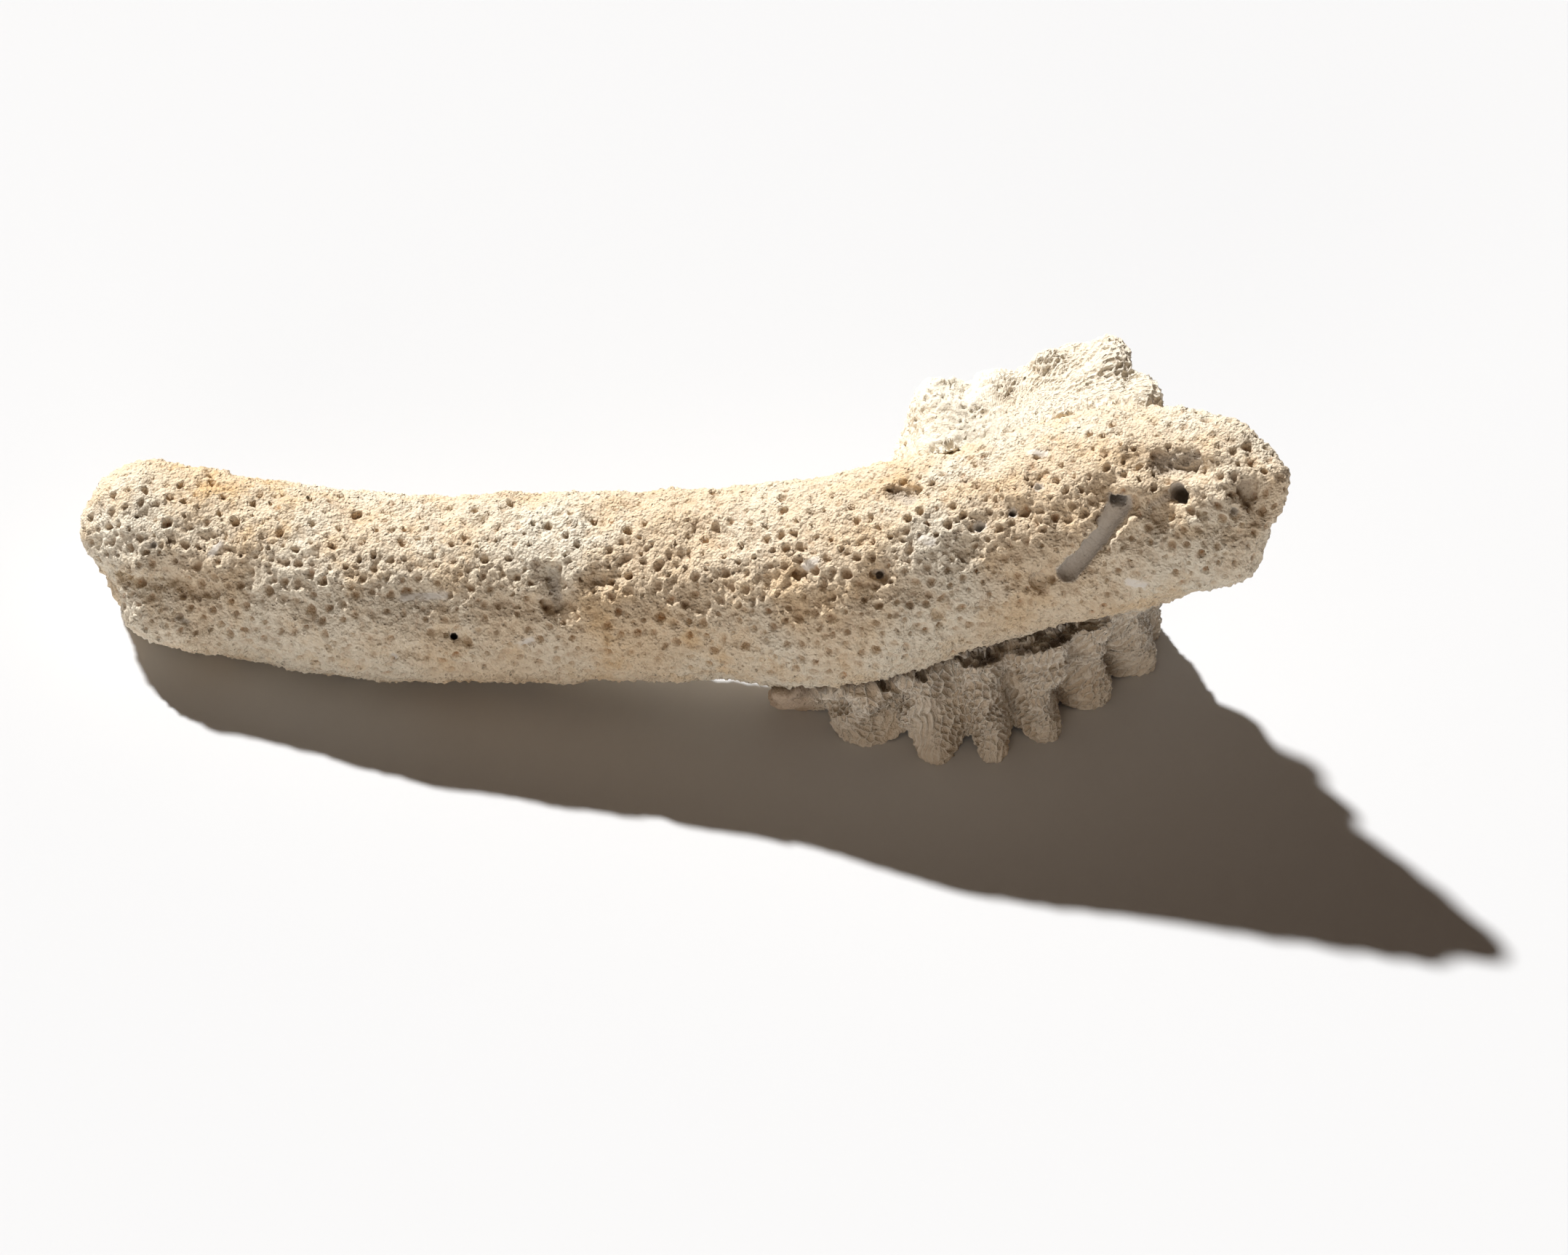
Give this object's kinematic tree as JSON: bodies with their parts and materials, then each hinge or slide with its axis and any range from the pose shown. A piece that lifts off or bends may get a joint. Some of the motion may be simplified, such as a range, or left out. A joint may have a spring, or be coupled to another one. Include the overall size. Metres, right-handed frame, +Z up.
{
  "type": "coral fragment",
  "caption": "Beach-worn length of pillar coral lying on its side, its thick broken end cradled by a second, ridged coral.",
  "frame": {"origin": "middle of the bounding box's base, on the surface that the piece lies on", "axes": "+X along the pillar towards its thick broken end, +Y away from the toothed side of the collar, +Z up"},
  "size_m": [0.1648, 0.0488, 0.0529],
  "materials": {
    "worn_pillar": "dry, chalky and porous cream skeleton",
    "ridged_crust": "dry, chalky skeleton with fine parallel ribs"
  },
  "bodies": {
    "root": {"pillar_branch": "worn_pillar", "ridged_collar": "ridged_crust"}
  },
  "joints": []
}
